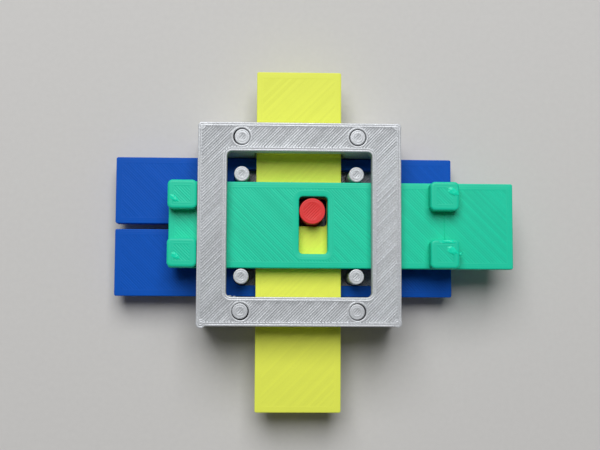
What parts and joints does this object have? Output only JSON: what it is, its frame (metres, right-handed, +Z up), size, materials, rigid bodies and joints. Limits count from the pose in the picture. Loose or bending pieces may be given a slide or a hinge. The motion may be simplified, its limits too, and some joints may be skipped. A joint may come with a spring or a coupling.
{
  "type": "sliding-plate relay with a coupling pin",
  "caption": "Mechanical relay of crossed sliding bars: a loose pin, shifted by the control bar, couples the driver bar to one output bar or the other.",
  "frame": {"origin": "centre of the base plate's underside, under the centre of the housing", "axes": "+X along the driver and output bars, towards the driver bar's grip end; +Y along the control bar, towards its short end; +Z up, out of the retaining frame"},
  "size_m": [0.0839, 0.072, 0.0156],
  "materials": {
    "silver_print": "printed, satin",
    "blue_print": "printed, satin",
    "yellow_print": "printed, satin",
    "green_print": "printed, satin",
    "red_print": "printed, satin"
  },
  "bodies": {
    "housing": {"base_plate": "silver_print", "retaining_frame": "silver_print", "frame_pin_upper_left": "silver_print", "frame_pin_upper_right": "silver_print", "frame_pin_lower_left": "silver_print", "frame_pin_lower_right": "silver_print", "guide_pin_upper_left": "silver_print", "guide_pin_upper_right": "silver_print", "guide_pin_lower_left": "silver_print", "guide_pin_lower_right": "silver_print"},
    "driver": {"driver_slide": "green_print"},
    "control": {"control_slide": "yellow_print"},
    "output_upper": {"output_slide_upper": "blue_print"},
    "output_lower": {"output_slide_lower": "blue_print"},
    "pin": {"coupling_pin": "red_print"}
  },
  "joints": [
    {"name": "driver_stroke", "type": "slide", "parent": "housing", "child": "driver", "axis": [-1, 0, 0], "range_m": [0, 0.006]},
    {"name": "control_stroke", "type": "slide", "parent": "housing", "child": "control", "axis": [0, -1, 0], "range_m": [0, 0.006]},
    {"name": "pin_shift", "type": "slide", "parent": "driver", "child": "pin", "axis": [0, -1, 0], "range_m": [0, 0.006]},
    {"name": "output_upper_stroke", "type": "slide", "parent": "housing", "child": "output_upper", "axis": [-1, 0, 0], "range_m": [0, 0.006]},
    {"name": "output_lower_stroke", "type": "slide", "parent": "housing", "child": "output_lower", "axis": [-1, 0, 0], "range_m": [0, 0.006]}
  ],
  "couplings": [
    {"joint": "pin_shift", "follows": "control_stroke", "ratio": 1},
    {"joint": "output_upper_stroke", "follows": "driver_stroke", "ratio": 1},
    {"joint": "output_lower_stroke", "follows": "driver_stroke", "ratio": 1}
  ]
}
